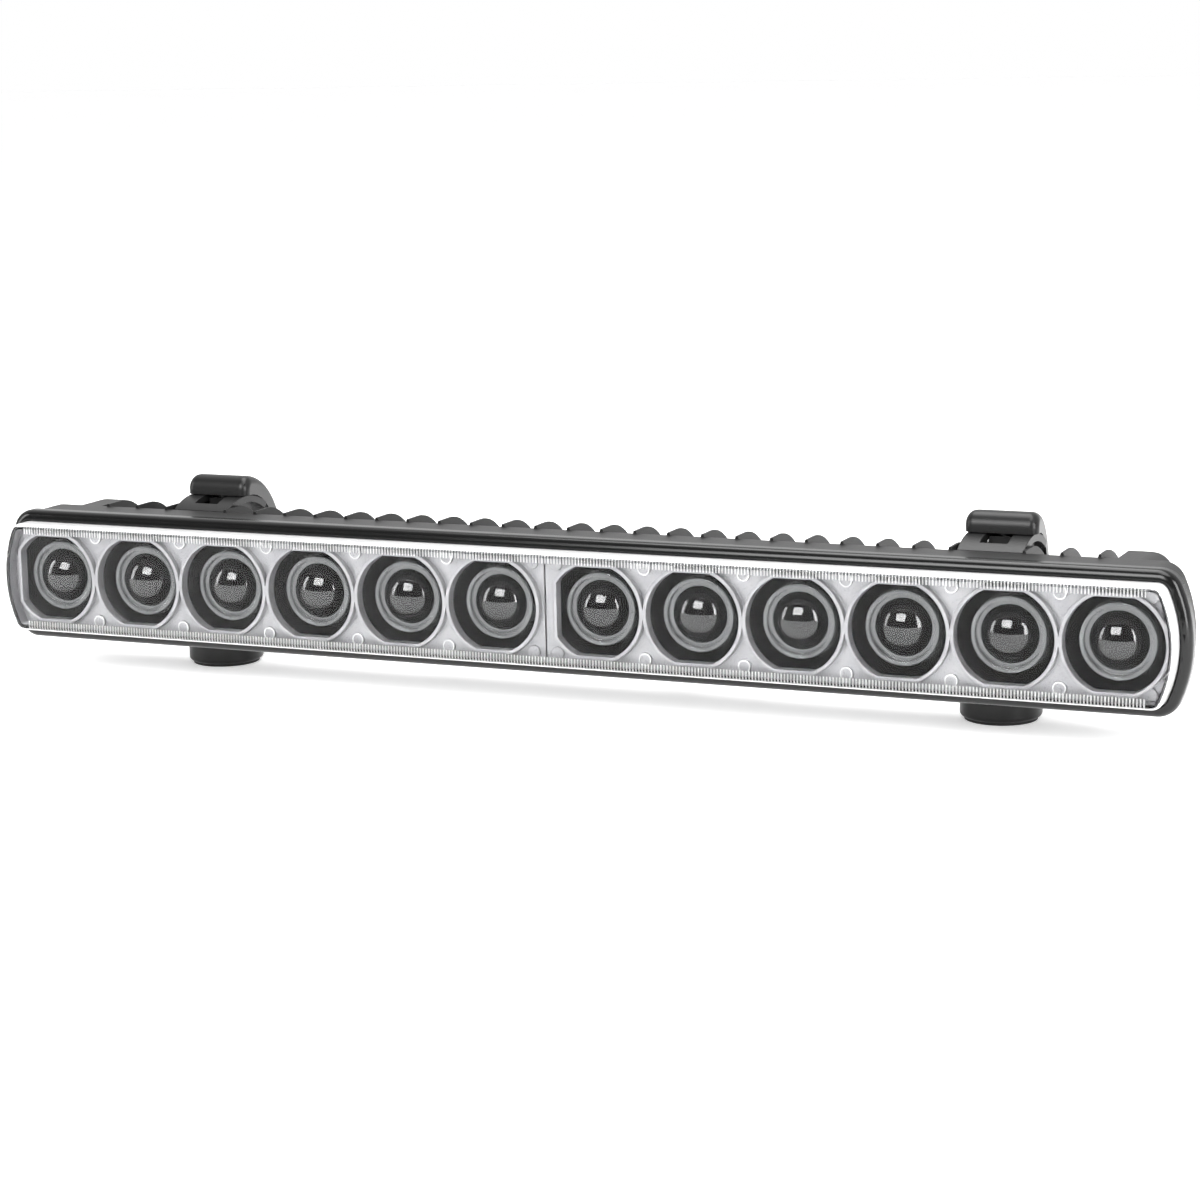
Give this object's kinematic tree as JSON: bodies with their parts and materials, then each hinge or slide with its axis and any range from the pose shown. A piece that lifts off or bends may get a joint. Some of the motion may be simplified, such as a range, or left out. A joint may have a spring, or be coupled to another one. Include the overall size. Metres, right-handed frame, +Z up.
{
  "type": "led light bar",
  "caption": "Slim bar lamp with a row of domed lenses behind a clear cover, cooling fins and two tilting mounting brackets.",
  "frame": {"origin": "midway between the two mounting holes, on the plane that the bracket feet are bolted to", "axes": "+X along the bar to its right as seen from in front, +Y to the rear (light leaves towards -Y), +Z up"},
  "size_m": [0.47, 0.0822, 0.0741],
  "materials": {
    "coated_housing": "fine satin black powder coat on die-cast aluminium",
    "frame_black": "smooth satin black lacquer",
    "clear_cover": "clear polished polycarbonate with fine flutes along its edges",
    "black_rubber": "matt black rubber",
    "silver_mask": "satin silver, very finely grained",
    "dark_moulding": "satin dark grey moulding",
    "lens_clear": "clear polished optical plastic",
    "black_board": "black solder mask on an aluminium core",
    "phosphor": "yellow phosphor die in a white package",
    "heat_pad": "soft grey gap filler",
    "steel": "zinc plated steel",
    "black_steel": "black coated steel",
    "coated_bracket": "satin black powder coat on cast aluminium",
    "hood_plastic": "satin black glass-filled nylon",
    "green_board": "green solder mask",
    "ferrite": "dark ferrite with copper winding",
    "can_aluminium": "aluminium can in a dark sleeve",
    "terminal_plastic": "green nylon terminal",
    "brass": "turned brass",
    "gland_plastic": "black nylon"
  },
  "bodies": {
    "bracket_left": {"bracket_arm_left": "coated_bracket", "bracket_hood_left": "hood_plastic", "clamp_screw_left": "steel", "clamp_nut_left": "steel", "foot_insert_left": "steel", "foot_pad_left": "black_rubber"},
    "lamp": {"board_screws": "steel", "cover_seal": "black_rubber", "driver_board": "green_board", "driver_capacitors": "can_aluminium", "driver_coils": "ferrite", "driver_spacers": "brass", "driver_switches": "dark_moulding", "driver_terminal": "terminal_plastic", "front_cover": "clear_cover", "front_frame": "frame_black", "gland_body": "gland_plastic", "gland_cap": "gland_plastic", "gland_nut": "gland_plastic", "gland_sleeve": "black_rubber", "heat_pad_left": "heat_pad", "heat_pad_right": "heat_pad", "housing": "coated_housing", "led_board_left": "black_board", "led_board_right": "black_board", "led_chips_left": "phosphor", "led_chips_right": "phosphor", "lens_01": "lens_clear", "lens_02": "lens_clear", "lens_03": "lens_clear", "lens_04": "lens_clear", "lens_05": "lens_clear", "lens_06": "lens_clear", "lens_07": "lens_clear", "lens_08": "lens_clear", "lens_09": "lens_clear", "lens_10": "lens_clear", "lens_11": "lens_clear", "lens_12": "lens_clear", "lens_holder_left": "dark_moulding", "lens_holder_right": "dark_moulding", "lens_mask_left": "silver_mask", "lens_mask_right": "silver_mask", "link_pins": "brass", "rear_cover": "coated_housing", "rear_cover_screws": "black_steel", "rear_seal": "black_rubber", "saddle_left_lower": "coated_bracket", "saddle_left_upper": "coated_bracket", "saddle_right_lower": "coated_bracket", "saddle_right_upper": "coated_bracket", "saddle_screws": "steel", "vent_plug": "gland_plastic"},
    "bracket_right": {"bracket_arm_right": "coated_bracket", "bracket_hood_right": "hood_plastic", "clamp_screw_right": "steel", "clamp_nut_right": "steel", "foot_insert_right": "steel", "foot_pad_right": "black_rubber"}
  },
  "joints": [
    {"name": "lamp_tilt", "type": "hinge", "parent": "bracket_left", "child": "lamp", "pos_m": [-0.159, 0, 0.038], "axis": [1, 0, 0], "range_deg": [-20, 12]},
    {"name": "right_bracket_tilt", "type": "hinge", "parent": "lamp", "child": "bracket_right", "pos_m": [0.159, 0, 0.038], "axis": [1, 0, 0], "range_deg": [-12, 20]}
  ],
  "couplings": [
    {"joint": "right_bracket_tilt", "follows": "lamp_tilt", "ratio": -1}
  ]
}
